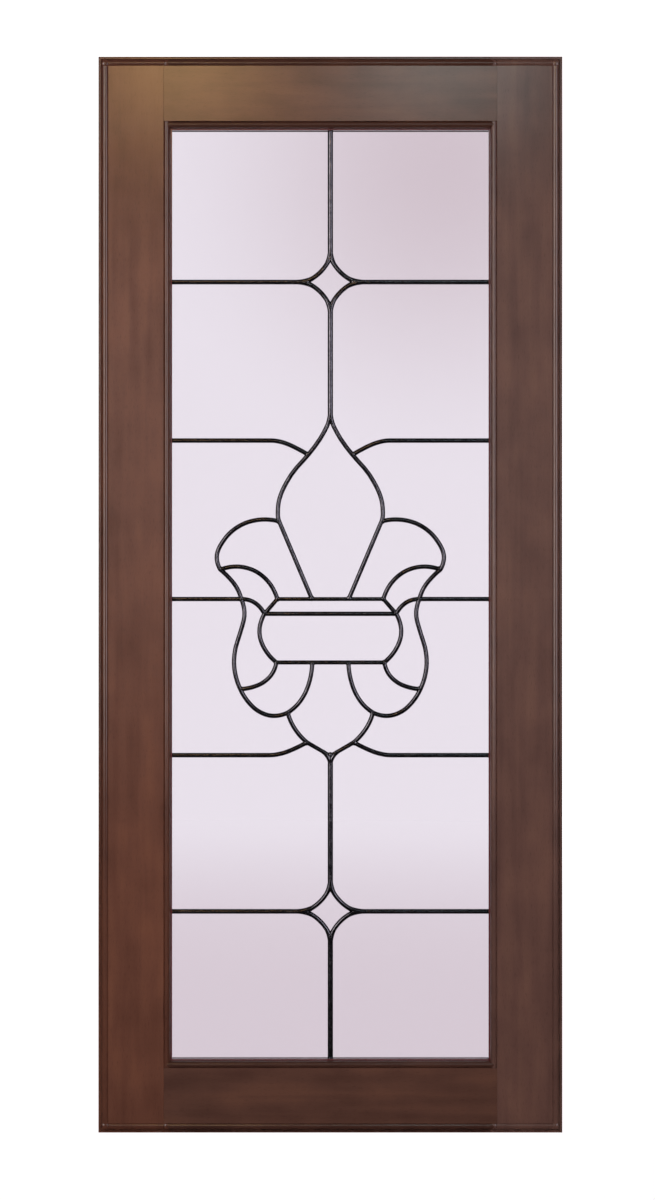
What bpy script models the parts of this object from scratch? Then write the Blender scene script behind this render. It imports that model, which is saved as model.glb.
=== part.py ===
"""Glass cabinet door: a moulded wooden frame around a leaded panel with a fleur-de-lis.

The door hangs upright: Z is up, X runs across and the front faces -Y. The row's origin is on
the back face of the left stile, at mid-height, where a hinge would be fixed.
"""

from math import atan2, ceil, cos, hypot, pi, radians, sin

import bmesh
import bpy
from mathutils import Vector
from mathutils.geometry import interpolate_bezier

# Frame
DOOR_WIDTH = 0.438
DOOR_HEIGHT = 1.016
MEMBER_WIDTH = 0.0695
LIP_THICKNESS = 0.0090
RABBET_WIDTH = 0.0095
HINGE_INSET = 0.0225

# Moulded outer edge: a rim, a flat lip and a quirked bead
EDGE_WIDTH = 0.0096
EDGE_LIP = 0.0022
EDGE_DROP = 0.0050
RIM_ROUND = 0.0010

# Sticking around the glass: a quirked bead and a small lip
STICKING_WIDTH = 0.0076
STICKING_LIP = 0.0012
STICKING_DROP = 0.0052

# Both beads: how far they stay behind the face and how far round they go
BEAD_CREST = 0.0010
BEAD_SWEEP = radians(135)

# Facets of the mouldings
BEAD_FACETS = 6
RIM_FACETS = 3

# Stops that hold the panel in the rabbet
STOP_THICKNESS = 0.0039
STOP_REVEAL = 0.0005
PANEL_SLACK = 0.0015

# Leaded panel
GLASS_THICKNESS = 0.0030
LEAF_THICKNESS = 0.0008
CAME_FACE = 0.0042
CAME_HEART = 0.0016
BORDER_FACE = 0.0055
BORDER_RIM = 0.0010
CLEARANCE = 0.0003

# Fleur-de-lis: its band above the middle of the opening, and its petals inside the sight edge
BAND_OFFSET = -0.0042
FLEUR_MARGIN = 0.0420

# Rows of cames: the sweep out of the fleur-de-lis, and the end panes up to the rows with a diamond
SWEEP_RUN = 0.0350
SWEEP_RISE = 0.0135
SWEEP_FALL = 0.0121
TOP_PANE_HEIGHT = 0.1427
BOTTOM_PANE_HEIGHT = 0.1387
DIAMOND_HALF_WIDTH = 0.0235
DIAMOND_HALF_HEIGHT = 0.0236
DIAMOND_HOLLOW = 0.0033

# Points of the fleur-de-lis, as shares of the reach of its petals: across from the centre line
# and up from the band's top bar
FINIAL_TIP = (0.0, 1.589)
FINIAL_SHOULDER = (0.091, 1.409)
FINIAL_JOINT = (0.195, 1.270)
FINIAL_FLANK = (0.343, 1.096)
FINIAL_BULGE = (0.461, 0.801)
PETAL_ROOT = (0.451, 0.684)
FINIAL_FOOT = (0.162, 0.0)
PETAL_RISE = (0.602, 0.700)
PETAL_CROWN = (0.781, 0.654)
PETAL_TURN = (0.930, 0.529)
PETAL_REACH = (1.0, 0.361)
PETAL_END = (0.969, 0.259)
CURL_TOP = (0.804, 0.285)
CURL_SIDE = (0.656, 0.243)
CURL_FALL = (0.547, 0.153)
BAND_CORNER = (0.467, 0.0)
HOOK_SIDE = (0.893, 0.189)
HOOK_FALL = (0.821, 0.095)
BAND_END = (0.784, 0.0)
CUFF_TURN = (0.704, -0.013)
BAND_SHOULDER = (0.580, -0.130)
BAND_BULGE = (0.624, -0.273)
BAND_FOOT = (0.475, -0.558)
SKIRT_NECK = (0.756, -0.112)
SKIRT_FLARE = (0.795, -0.302)
SKIRT_SIDE = (0.833, -0.424)
SKIRT_REACH = (0.848, -0.567)
SKIRT_END = (0.793, -0.793)
HEM_TURN = (0.695, -0.778)
HEM_SIDE = (0.592, -0.735)
HEM_RISE = (0.514, -0.660)
LOBE_SIDE = (0.724, -0.904)
LOBE_TURN = (0.644, -0.980)
LOBE_BOTTOM = (0.513, -1.028)
STEM_ROOT = (0.375, -1.000)
STEM_SWELL = (0.292, -0.932)
STEM_SIDE = (0.220, -0.825)
STEM_NECK = (0.178, -0.704)
STEM_TOP = (0.159, -0.558)
SHIELD_SIDE = (0.353, -1.067)
SHIELD_FALL = (0.285, -1.181)
SHIELD_JOINT = (0.206, -1.262)
SHIELD_TIP = (0.0, -1.381)

# The bend where a row's came sweeps into the fleur-de-lis, as shares of its run and its rise
SWEEP_BENDS = ((0.32, 0.47), (0.65, 0.84))

# Curves turn by at most this much from one facet to the next
FACET_TURN = radians(14)

# How far a cutter stands out of what it cuts, and how close two points count as one
CUTTER_MARGIN = 0.02
SAME_POINT = 1e-6

PANEL_THICKNESS = GLASS_THICKNESS + 2 * CLEARANCE + 2 * LEAF_THICKNESS
RABBET_DEPTH = PANEL_THICKNESS + STOP_THICKNESS + 3 * CLEARANCE
DOOR_THICKNESS = LIP_THICKNESS + RABBET_DEPTH
SIGHT_HALF_WIDTH = DOOR_WIDTH / 2 - MEMBER_WIDTH
SIGHT_HALF_HEIGHT = DOOR_HEIGHT / 2 - MEMBER_WIDTH
RABBET_HALF_WIDTH = SIGHT_HALF_WIDTH + RABBET_WIDTH
RABBET_HALF_HEIGHT = SIGHT_HALF_HEIGHT + RABBET_WIDTH
PANEL_HALF_WIDTH = RABBET_HALF_WIDTH - PANEL_SLACK
PANEL_HALF_HEIGHT = RABBET_HALF_HEIGHT - PANEL_SLACK
PANEL_FRONT = -RABBET_DEPTH + CLEARANCE
PANEL_MIDDLE = PANEL_FRONT + PANEL_THICKNESS / 2
STOP_MIDDLE = -CLEARANCE - STOP_THICKNESS / 2
FLEUR_REACH = SIGHT_HALF_WIDTH - FLEUR_MARGIN
DOOR_CENTRE = DOOR_WIDTH / 2 - HINGE_INSET

# How a flat outline is turned to stand in the door
LYING = (0.0, 0.0, 0.0)
FACING_FRONT = (pi / 2, 0.0, 0.0)
FACING_SIDE = (pi / 2, 0.0, pi / 2)


def clear_scene():
    for thing in list(bpy.data.objects):
        bpy.data.objects.remove(thing, do_unlink=True)


def new_collection(name):
    collection = bpy.data.collections.new(name)
    bpy.context.scene.collection.children.link(collection)
    return collection


def linear(hex_colour):
    """An sRGB colour such as 5D3E34 as the linear values that a shader takes."""
    channels = [int(hex_colour[i : i + 2], 16) / 255 for i in (0, 2, 4)]
    return [c / 12.92 if c <= 0.04045 else ((c + 0.055) / 1.055) ** 2.4 for c in channels] + [1.0]


def new_material(name, hex_colour, roughness, metallic=0.0, transmission=0.0):
    material = bpy.data.materials.new(name)
    material.use_nodes = True
    shader = material.node_tree.nodes["Principled BSDF"]
    shader.inputs["Base Color"].default_value = linear(hex_colour)
    shader.inputs["Roughness"].default_value = roughness
    shader.inputs["Metallic"].default_value = metallic
    shader.inputs["Transmission Weight"].default_value = transmission
    return material


def prism(name, outlines, thickness, turned, place, collection):
    """Flat outlines, the first around the others, drawn out to a closed solid of this thickness."""
    curve = bpy.data.curves.new(name, "CURVE")
    curve.dimensions = "2D"
    curve.fill_mode = "BOTH"
    curve.extrude = thickness / 2
    for outline in outlines:
        spline = curve.splines.new("POLY")
        spline.points.add(len(outline) - 1)
        for point, (u, v) in zip(spline.points, outline):
            point.co = (u, v, 0.0, 1.0)
        spline.use_cyclic_u = True
    drawn = bpy.data.objects.new(name, curve)
    drawn.rotation_euler = turned
    drawn.location = place
    collection.objects.link(drawn)
    bpy.context.view_layer.update()
    graph = bpy.context.evaluated_depsgraph_get()
    mesh = bpy.data.meshes.new_from_object(drawn.evaluated_get(graph))
    solid = bpy.data.objects.new(name, mesh)
    solid.matrix_world = drawn.matrix_world.copy()
    bpy.data.objects.remove(drawn)
    solid.name = name
    collection.objects.link(solid)
    close_caps(mesh)
    return solid


def close_caps(mesh):
    """Welds the caps to the walls, and turns the slivers that the fill leaves between points in line."""
    shape = bmesh.new()
    shape.from_mesh(mesh)
    bmesh.ops.remove_doubles(shape, verts=shape.verts, dist=SAME_POINT / 10)
    caps = {face for face in shape.faces if len({vertex.co.z > 0 for vertex in face.verts}) == 1}
    within = [edge for edge in shape.edges if caps.issuperset(edge.link_faces)]
    bmesh.ops.beautify_fill(shape, faces=list(caps), edges=within, method="ANGLE")
    bmesh.ops.recalc_face_normals(shape, faces=shape.faces)
    shape.to_mesh(mesh)
    shape.free()


def combine(solid, other, operation):
    """Joins, cuts or trims a solid by another one, which isn't shown itself."""
    other.hide_render = True
    other.display_type = "WIRE"
    boolean = solid.modifiers.new(operation.lower(), "BOOLEAN")
    boolean.operation = operation
    boolean.solver = "EXACT"
    boolean.object = other


def inset(loop, distances):
    """A closed outline with each side moved inwards by its own distance; lost sides drop out."""
    corners = list(zip(loop, loop[1:] + loop[:1]))
    turn = 1 if sum(a[0] * b[1] - b[0] * a[1] for a, b in corners) > 0 else -1
    sides = []
    for (a, b), distance in zip(corners, distances):
        along = (Vector(b) - Vector(a)).normalized()
        inward = Vector((-turn * along.y, turn * along.x))
        sides.append((along, inward, inward.dot(Vector(a)) + distance, Vector(a)))
    while True:
        moved = [meeting(before, side) for before, side in zip(sides[-1:] + sides[:-1], sides)]
        runs = [side[0].dot(b - a) for side, a, b in zip(sides, moved, moved[1:] + moved[:1])]
        if min(runs) > 0:
            return [tuple(corner) for corner in moved]
        sides.pop(runs.index(min(runs)))


def meeting(before, side):
    """Where two moved sides meet, or the moved corner if they are in line."""
    if abs(before[0].cross(side[0])) < SAME_POINT:
        return side[3] + side[1] * (side[2] - side[1].dot(side[3]))
    across = before[1].cross(side[1])
    return Vector((
        (before[2] * side[1].y - side[2] * before[1].y) / across,
        (before[1].x * side[2] - side[1].x * before[2]) / across,
    ))


def beaded_edge(width, lip, drop):
    """A bead from its foot by the lip over its crest into the quirk, then the wall up to the face.

    The points are (inset, depth behind the face).
    """
    half_width = (width - lip) / (1 - cos(BEAD_SWEEP))
    height = drop - BEAD_CREST
    points = []
    for n in range(BEAD_FACETS + 1):
        angle = BEAD_SWEEP * n / BEAD_FACETS
        across = lip + half_width * (1 - cos(angle))
        points.append((across, drop - height * sin(angle)))
    return points + [(width, 0.0)]


def outer_profile():
    """From the door's back edge to the face: (inset from the outer edge, depth behind the face)."""
    rim = []
    for n in range(RIM_FACETS + 1):
        angle = pi / 2 * n / RIM_FACETS
        rim.append((RIM_ROUND * (1 - cos(angle)), EDGE_DROP + RIM_ROUND * (1 - sin(angle))))
    return [(0.0, DOOR_THICKNESS)] + rim + beaded_edge(EDGE_WIDTH, EDGE_LIP, EDGE_DROP)


def sight_profile():
    """From the face to the back: (inset from the sight edge, depth behind the face)."""
    moulded = beaded_edge(STICKING_WIDTH, STICKING_LIP, STICKING_DROP)[::-1]
    lip = [(0.0, STICKING_DROP), (0.0, LIP_THICKNESS)]
    return moulded + lip + [(RABBET_WIDTH, LIP_THICKNESS), (RABBET_WIDTH, DOOR_THICKNESS)]


def cope_profile():
    """What a rail's end is cut to: the sticking, with its quirk filled level with the crest."""
    profile = sight_profile()
    crest = min(range(1, BEAD_FACETS + 2), key=lambda n: profile[n][1])
    return [profile[0], (profile[0][0], profile[crest][1])] + profile[crest:]


def member_section():
    """Section of a stile or rail: (distance from the outer edge, Y in the door)."""
    inner = [(MEMBER_WIDTH - across, depth) for across, depth in sight_profile()]
    return [(across, depth - DOOR_THICKNESS) for across, depth in outer_profile() + inner]


def build_stile(name, side, wood, parts, cutters):
    """A full-height stile, trimmed to the moulded top and bottom edges of the door."""
    section = [(side * (DOOR_WIDTH / 2 - across), y) for across, y in member_section()]
    stile = prism(name, [section], DOOR_HEIGHT + 2 * CUTTER_MARGIN, LYING, (0, 0, 0), parts)
    edge = [(depth - DOOR_THICKNESS, DOOR_HEIGHT / 2 - across) for across, depth in outer_profile()]
    edge[0] = (CUTTER_MARGIN, edge[0][1])
    edge.append((-DOOR_THICKNESS - CUTTER_MARGIN, edge[-1][1]))
    silhouette = edge + [(y, -z) for y, z in reversed(edge)]
    place = (side * (DOOR_WIDTH - MEMBER_WIDTH) / 2, 0, 0)
    width = MEMBER_WIDTH + 2 * CUTTER_MARGIN
    trim = prism(name + "_trim", [silhouette], width, FACING_SIDE, place, cutters)
    combine(stile, trim, "INTERSECT")
    stile.data.materials.append(wood)


def build_rail(name, side, wood, parts, cutters):
    """A rail between the stiles, its ends coped over their sticking and tongued into the rabbets."""
    section = [(y, side * (DOOR_HEIGHT / 2 - across)) for across, y in member_section()]
    rail = prism(name, [section], DOOR_WIDTH, FACING_SIDE, (0, 0, 0), parts)
    cope = [(SIGHT_HALF_WIDTH + across, depth - DOOR_THICKNESS) for across, depth in cope_profile()]
    cope[0] = (cope[0][0], -DOOR_THICKNESS - CUTTER_MARGIN)
    cope[-1] = (cope[-1][0], CUTTER_MARGIN)
    plan = cope + [(-x, y) for x, y in reversed(cope)]
    gaps = [CLEARANCE] * (len(cope) - 1) + [0.0]
    height = MEMBER_WIDTH + 2 * CUTTER_MARGIN
    place = (0, 0, side * (DOOR_HEIGHT - MEMBER_WIDTH) / 2)
    trim = prism(name + "_trim", [inset(plan, gaps * 2)], height, LYING, place, cutters)
    combine(rail, trim, "INTERSECT")
    rail.data.materials.append(wood)


def build_stops(wood, parts):
    """Four plain strips behind the panel, mitred at the corners."""
    outer = (RABBET_HALF_WIDTH, RABBET_HALF_HEIGHT)
    inner = (SIGHT_HALF_WIDTH + STOP_REVEAL, SIGHT_HALF_HEIGHT + STOP_REVEAL)
    corners = {"right_stop": ((1, -1), (1, 1)), "top_stop": ((1, 1), (-1, 1))}
    corners["left_stop"] = ((-1, 1), (-1, -1))
    corners["bottom_stop"] = ((-1, -1), (1, -1))
    gaps = [CLEARANCE, CLEARANCE / 2, 0.0, CLEARANCE / 2]
    for name, (first, second) in corners.items():
        outline = [(outer[0] * u, outer[1] * v) for u, v in (first, second)]
        outline += [(inner[0] * u, inner[1] * v) for u, v in (second, first)]
        strip = [inset(outline, gaps)]
        stop = prism(name, strip, STOP_THICKNESS, FACING_FRONT, (0, STOP_MIDDLE, 0), parts)
        stop.data.materials.append(wood)


def smooth(keys, start=None, end=None):
    """Points on a smooth curve through the keys, with its end directions where they are given."""
    keys = [Vector(key) for key in keys]
    chords = [b - a for a, b in zip(keys, keys[1:])]
    slopes = []
    for a, b in zip(chords, chords[1:]):
        slopes.append((a * (b.length / a.length) + b * (a.length / b.length)).normalized())
    first = Vector(start) if start else chords[0].normalized() * 2 - slopes[0]
    last = Vector(end) if end else chords[-1].normalized() * 2 - slopes[-1]
    slopes = [first.normalized()] + slopes + [last.normalized()]
    points = [tuple(keys[0])]
    for a, b, chord, leave, arrive in zip(keys, keys[1:], chords, slopes, slopes[1:]):
        turn = leave.angle(chord) + chord.angle(arrive)
        steps = max(1, ceil(turn / FACET_TURN))
        reach = chord.length / 3
        span = interpolate_bezier(a, a + leave * reach, b - arrive * reach, b, steps + 1)
        points += [tuple(point) for point in span[1:-1]] + [tuple(b)]
    return points


def fleur(share):
    """A point of the fleur-de-lis in the door, from its shares of the reach."""
    return (share[0] * FLEUR_REACH, share[1] * FLEUR_REACH + BAND_OFFSET)


def fleur_curve(*shares, start=None, end=None):
    return smooth([fleur(share) for share in shares], start, end)


def fleur_cames():
    """The fleur-de-lis to the right of the centre line, as named lines."""
    leg = Vector(FINIAL_FOOT) - Vector(PETAL_ROOT)
    shoulder = Vector(FINIAL_FLANK) - Vector(FINIAL_SHOULDER)
    return {
        "finial_top": fleur_curve(FINIAL_TIP, FINIAL_SHOULDER, FINIAL_JOINT, end=shoulder),
        "finial_side": fleur_curve(
            FINIAL_JOINT, FINIAL_FLANK, FINIAL_BULGE, PETAL_ROOT, start=shoulder, end=leg
        ),
        "finial_leg": [fleur(PETAL_ROOT), fleur(FINIAL_FOOT)],
        "petal": fleur_curve(
            PETAL_ROOT, PETAL_RISE, PETAL_CROWN, PETAL_TURN, PETAL_REACH, PETAL_END
        ),
        "curl": fleur_curve(PETAL_END, CURL_TOP, CURL_SIDE, CURL_FALL, BAND_CORNER),
        "hook": fleur_curve(PETAL_END, HOOK_SIDE, HOOK_FALL, BAND_END),
        "cuff": fleur_curve(BAND_END, CUFF_TURN, BAND_SHOULDER, start=(-1.0, 0.0)),
        "chamfer": [fleur(BAND_CORNER), fleur(BAND_SHOULDER)],
        "bulge": fleur_curve(BAND_SHOULDER, BAND_BULGE, BAND_FOOT),
        "skirt": fleur_curve(
            BAND_END, SKIRT_NECK, SKIRT_FLARE, SKIRT_SIDE, SKIRT_REACH, SKIRT_END
        ),
        "hem": fleur_curve(SKIRT_END, HEM_TURN, HEM_SIDE, HEM_RISE, BAND_FOOT),
        "lobe": fleur_curve(SKIRT_END, LOBE_SIDE, LOBE_TURN, LOBE_BOTTOM, STEM_ROOT),
        "stem": fleur_curve(STEM_ROOT, STEM_SWELL, STEM_SIDE, STEM_NECK, STEM_TOP),
        "shield": fleur_curve(STEM_ROOT, SHIELD_SIDE, SHIELD_FALL, SHIELD_JOINT),
        "shield_end": [fleur(SHIELD_JOINT), fleur(SHIELD_TIP)],
        "top_bar": [fleur(FINIAL_FOOT), fleur(BAND_CORNER)],
        "low_bar": [fleur(STEM_TOP), fleur(BAND_FOOT)],
    }


def row_levels():
    return {
        1: SIGHT_HALF_HEIGHT - TOP_PANE_HEIGHT,
        2: fleur(FINIAL_JOINT)[1] + SWEEP_RISE,
        3: BAND_OFFSET,
        4: fleur(SHIELD_JOINT)[1] - SWEEP_FALL,
        5: BOTTOM_PANE_HEIGHT - SIGHT_HALF_HEIGHT,
    }


def swept_row(joint, level):
    """A row's came, bent out of the fleur-de-lis and then level to the border."""
    start = Vector(fleur(joint))
    reach = Vector((SWEEP_RUN, level - start.y))
    bends = [start + Vector((run * reach.x, rise * reach.y)) for run, rise in SWEEP_BENDS]
    bent = smooth([start] + bends + [start + reach], end=(1.0, 0.0))
    return bent + [(PANEL_HALF_WIDTH, level)]


def diamond_side():
    """From the top of a diamond to its right tip, hollowed as an arc, about its own centre."""
    top, tip = Vector((0.0, DIAMOND_HALF_HEIGHT)), Vector((DIAMOND_HALF_WIDTH, 0.0))
    half = (tip - top).length / 2
    radius = (half**2 + DIAMOND_HOLLOW**2) / (2 * DIAMOND_HOLLOW)
    spread = 2 * atan2(DIAMOND_HOLLOW, half)
    along = (tip - top).normalized()
    inward = Vector((along.y, -along.x))
    hub = (top + tip) / 2 + inward * (DIAMOND_HOLLOW - radius)
    steps = ceil(2 * spread / FACET_TURN)
    angles = [spread * (2 * n / steps - 1) for n in range(steps + 1)]
    return [tuple(hub + along * radius * sin(a) + inward * radius * cos(a)) for a in angles]


def right_cames():
    """Every came from the centre line to the right border, as named lines."""
    level = row_levels()
    cames = fleur_cames()
    cames["row_2"] = swept_row(FINIAL_JOINT, level[2])
    cames["row_3"] = [fleur(BAND_END), (PANEL_HALF_WIDTH, level[3])]
    cames["row_4"] = swept_row(SHIELD_JOINT, level[4])
    for row, name in ((1, "upper"), (5, "lower")):
        side = diamond_side()
        cames[name + "_over"] = [(x, level[row] + z) for x, z in side]
        cames[name + "_under"] = [(x, level[row] - z) for x, z in reversed(side)]
        cames[name + "_row"] = [(DIAMOND_HALF_WIDTH, level[row]), (PANEL_HALF_WIDTH, level[row])]
    over = DIAMOND_HALF_HEIGHT
    cames["top_stem"] = [(0.0, PANEL_HALF_HEIGHT), (0.0, level[1] + over)]
    cames["high_stem"] = [(0.0, level[1] - over), fleur(FINIAL_TIP)]
    cames["deep_stem"] = [fleur(SHIELD_TIP), (0.0, level[5] + over)]
    cames["end_stem"] = [(0.0, level[5] - over), (0.0, -PANEL_HALF_HEIGHT)]
    return cames


# Each pane between the centre line and the right border: its cames in order, "-" for backwards.
# A pane's run along the border follows from where its cames end.
SIDE_PANES = {
    "top_pane": "top_stem upper_over upper_row",
    "second_pane": "high_stem finial_top row_2 -upper_row upper_under",
    "third_pane": "row_2 -row_3 -hook -petal -finial_side",
    "petal_pane": "petal curl -top_bar -finial_leg",
    "curl_pane": "hook cuff -chamfer -curl",
    "fourth_pane": "row_3 -row_4 -shield -lobe -skirt",
    "skirt_pane": "skirt hem -bulge -cuff",
    "lobe_pane": "lobe stem low_bar -hem",
    "fifth_pane": "row_4 -lower_row -lower_over -deep_stem -shield_end",
    "bottom_pane": "lower_row -end_stem -lower_under",
}

# Each pane on the centre line: the cames of its right half, from the top down.
MIDDLE_PANES = {
    "upper_diamond_pane": "upper_over upper_under",
    "finial_pane": "finial_top finial_side finial_leg",
    "band_top_pane": "chamfer",
    "band_pane": "bulge",
    "shield_pane": "-stem shield shield_end",
    "lower_diamond_pane": "lower_over lower_under",
}


def same(a, b):
    return hypot(a[0] - b[0], a[1] - b[1]) < SAME_POINT


def chained(route, cames):
    """The points along a route of named cames, with one point where two cames meet."""
    points = []
    for name in route.split():
        line = cames[name[1:]][::-1] if name.startswith("-") else cames[name]
        points += line[1:] if points and same(points[-1], line[0]) else line
    return points


def on_border(point):
    beyond = (abs(point[0]) - PANEL_HALF_WIDTH, abs(point[1]) - PANEL_HALF_HEIGHT)
    return max(beyond) > -SAME_POINT


def pane_loops():
    """Every pane's outline along the middle of its cames, by name."""
    cames = right_cames()
    loops = {}
    for name, route in SIDE_PANES.items():
        points = chained(route, cames)
        if name == "top_pane":
            points.append((PANEL_HALF_WIDTH, PANEL_HALF_HEIGHT))
        if name == "bottom_pane":
            points.insert(len(cames["lower_row"]), (PANEL_HALF_WIDTH, -PANEL_HALF_HEIGHT))
        loop = points[1:] if same(points[0], points[-1]) else points
        loops["right_" + name] = loop
        loops["left_" + name] = [(-x, z) for x, z in reversed(loop)]
    for name, route in MIDDLE_PANES.items():
        half = chained(route, cames)
        loops[name] = half + [(-x, z) for x, z in reversed(half) if x > SAME_POINT]
    return loops


def fitted(loop, inner, border):
    """A pane's outline moved in by one distance at its cames and by another along the border."""
    sides = zip(loop, loop[1:] + loop[:1])
    return inset(loop, [border if on_border(a) and on_border(b) else inner for a, b in sides])


def rectangle(half_width, half_height):
    return [(u * half_width, v * half_height) for u, v in ((-1, -1), (1, -1), (1, 1), (-1, 1))]


def build_cames(loops, lead, parts, cutters):
    """The soldered cames: two leaves joined by a heart, with an opening for each pane."""
    leaf = [rectangle(PANEL_HALF_WIDTH, PANEL_HALF_HEIGHT)]
    leaf += [fitted(loop, CAME_FACE / 2, BORDER_FACE) for loop in loops.values()]
    heart = [rectangle(PANEL_HALF_WIDTH - BORDER_RIM, PANEL_HALF_HEIGHT - BORDER_RIM)]
    heart += [fitted(loop, CAME_HEART / 2, BORDER_RIM + CAME_HEART) for loop in loops.values()]
    depth = PANEL_THICKNESS - LEAF_THICKNESS
    cames = prism("came_lattice", heart, depth, FACING_FRONT, (0, PANEL_MIDDLE, 0), parts)
    front = (0, PANEL_MIDDLE - depth / 2, 0)
    leaves = prism("leaves", leaf, LEAF_THICKNESS, FACING_FRONT, front, cutters)
    both = leaves.modifiers.new("front_and_back", "ARRAY")
    both.count = 2
    both.use_relative_offset = False
    both.use_constant_offset = True
    both.constant_offset_displace = (0, 0, -depth)
    combine(cames, leaves, "UNION")
    cames.data.materials.append(lead)


def build_panes(loops, glass, parts):
    """One piece of glass for each opening, loose in the channel of its cames."""
    border = BORDER_RIM + CAME_HEART + CLEARANCE
    place = (0, PANEL_MIDDLE, 0)
    for name, loop in loops.items():
        outline = fitted(loop, CAME_HEART / 2 + CLEARANCE, border)
        pane = prism(name, [outline], GLASS_THICKNESS, FACING_FRONT, place, parts)
        pane.data.materials.append(glass)


def build_door():
    clear_scene()
    parts = new_collection("glass_cabinet_door")
    cutters = new_collection("cutters")
    wood = new_material("stained_wood", "5F4036", roughness=0.4)
    lead = new_material("blackened_lead", "2B2A2C", roughness=0.35, metallic=0.9)
    glass = new_material("clear_glass", "E6E0E9", roughness=0.02, transmission=1.0)
    for name, side in (("left_stile", -1), ("right_stile", 1)):
        build_stile(name, side, wood, parts, cutters)
    for name, side in (("bottom_rail", -1), ("top_rail", 1)):
        build_rail(name, side, wood, parts, cutters)
    build_stops(wood, parts)
    loops = pane_loops()
    build_cames(loops, lead, parts, cutters)
    build_panes(loops, glass, parts)
    for piece in list(parts.objects) + list(cutters.objects):
        piece.location.x += DOOR_CENTRE


build_door()
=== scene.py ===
"""Leaded glass cabinet door: its finished look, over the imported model.

The panel is drawn flat, with u across, v up and w towards the front, and is then stood up in
the door. Run as a script, it dresses the door and sets the stage.
"""

from math import ceil, cos, pi, radians, sin, tan

import bmesh
import bpy
from bpy.props import FloatProperty, FloatVectorProperty, IntProperty, PointerProperty
from mathutils import Matrix, Vector
from mathutils.geometry import interpolate_bezier


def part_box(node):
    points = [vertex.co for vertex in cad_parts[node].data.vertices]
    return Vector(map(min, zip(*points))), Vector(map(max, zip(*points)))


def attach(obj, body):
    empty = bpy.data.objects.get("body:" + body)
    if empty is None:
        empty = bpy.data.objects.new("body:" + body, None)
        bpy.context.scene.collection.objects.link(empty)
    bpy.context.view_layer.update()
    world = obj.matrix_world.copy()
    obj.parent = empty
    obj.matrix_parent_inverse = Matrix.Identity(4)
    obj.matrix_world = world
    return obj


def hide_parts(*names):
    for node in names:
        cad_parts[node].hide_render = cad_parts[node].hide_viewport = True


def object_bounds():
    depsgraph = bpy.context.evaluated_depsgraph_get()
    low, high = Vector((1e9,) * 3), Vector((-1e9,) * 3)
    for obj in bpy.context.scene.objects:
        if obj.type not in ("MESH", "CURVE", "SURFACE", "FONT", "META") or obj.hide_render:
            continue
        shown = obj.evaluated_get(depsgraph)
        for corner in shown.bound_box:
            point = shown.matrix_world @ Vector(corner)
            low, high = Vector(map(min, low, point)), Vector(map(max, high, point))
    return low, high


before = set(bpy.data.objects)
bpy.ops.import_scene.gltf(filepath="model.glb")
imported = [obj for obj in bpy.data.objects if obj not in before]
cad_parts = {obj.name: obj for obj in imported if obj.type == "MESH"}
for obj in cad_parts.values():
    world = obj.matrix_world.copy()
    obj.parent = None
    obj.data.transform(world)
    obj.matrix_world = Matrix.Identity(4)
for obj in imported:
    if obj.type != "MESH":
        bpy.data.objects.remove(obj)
CAD_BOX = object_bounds()

bl_info = {
    "name": "Leaded Glass Cabinet Door",
    "version": (1, 0, 0),
    "blender": (4, 5, 0),
    "location": "3D View > Sidebar > Glass Door",
    "description": "Dresses a glass cabinet door: moulded wood, round cames, solder, clear glass",
    "category": "Add Mesh",
}

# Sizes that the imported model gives
DOOR_LOW, DOOR_HIGH = CAD_BOX
CENTRE_X = (DOOR_LOW.x + DOOR_HIGH.x) / 2
HALF_WIDTH = (DOOR_HIGH.x - DOOR_LOW.x) / 2
HALF_HEIGHT = (DOOR_HIGH.z - DOOR_LOW.z) / 2
THICKNESS = DOOR_HIGH.y - DOOR_LOW.y
STILE_LOW, STILE_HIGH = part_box("left_stile")
MEMBER_WIDTH = STILE_HIGH.x - STILE_LOW.x
SIGHT_HALF_WIDTH = HALF_WIDTH - MEMBER_WIDTH
SIGHT_HALF_HEIGHT = HALF_HEIGHT - MEMBER_WIDTH
PANEL_LOW, PANEL_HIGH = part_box("came_lattice")
PANEL_HALF_WIDTH = (PANEL_HIGH.x - PANEL_LOW.x) / 2
PANEL_HALF_HEIGHT = (PANEL_HIGH.z - PANEL_LOW.z) / 2
PANEL_MIDDLE = (PANEL_HIGH.y + PANEL_LOW.y) / 2
PANE_LOW, PANE_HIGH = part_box("finial_pane")
GLASS_THICKNESS = PANE_HIGH.y - PANE_LOW.y
STOPS = ("left_stop", "right_stop", "top_stop", "bottom_stop")

# How each board takes the stain, with painted light in some: shares of its red, green and blue
BOARD_TONES_AND_LIGHT = {
    "left_stile": (0.94, 0.86, 0.83),
    # Painted cool sheen: the right stile is bluer, as if lit by a cool light from the right
    "right_stile": (0.83, 0.98, 1.2),
    "top_rail": (0.8, 0.8, 0.82),
    # Painted shade: the bottom rail is darker, as light falls from above
    "bottom_rail": (0.67, 0.71, 0.78),
}
# How much of the painted shade on its mouldings a board keeps, where it isn't all
MOULDING_SHADE = {"left_stile": 0.7, "right_stile": 0.25}

# Fleur-de-lis and rows of cames, as in the part's source
BAND_OFFSET = -0.0042
FLEUR_MARGIN = 0.0420
FLEUR_REACH = SIGHT_HALF_WIDTH - FLEUR_MARGIN
SWEEP_RUN = 0.0350
SWEEP_RISE = 0.0135
SWEEP_FALL = 0.0121
TOP_PANE_HEIGHT = 0.1427
BOTTOM_PANE_HEIGHT = 0.1387
DIAMOND_HALF_WIDTH = 0.0235
DIAMOND_HALF_HEIGHT = 0.0236
DIAMOND_HOLLOW = 0.0033
SWEEP_BENDS = ((0.32, 0.47), (0.65, 0.84))

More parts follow.
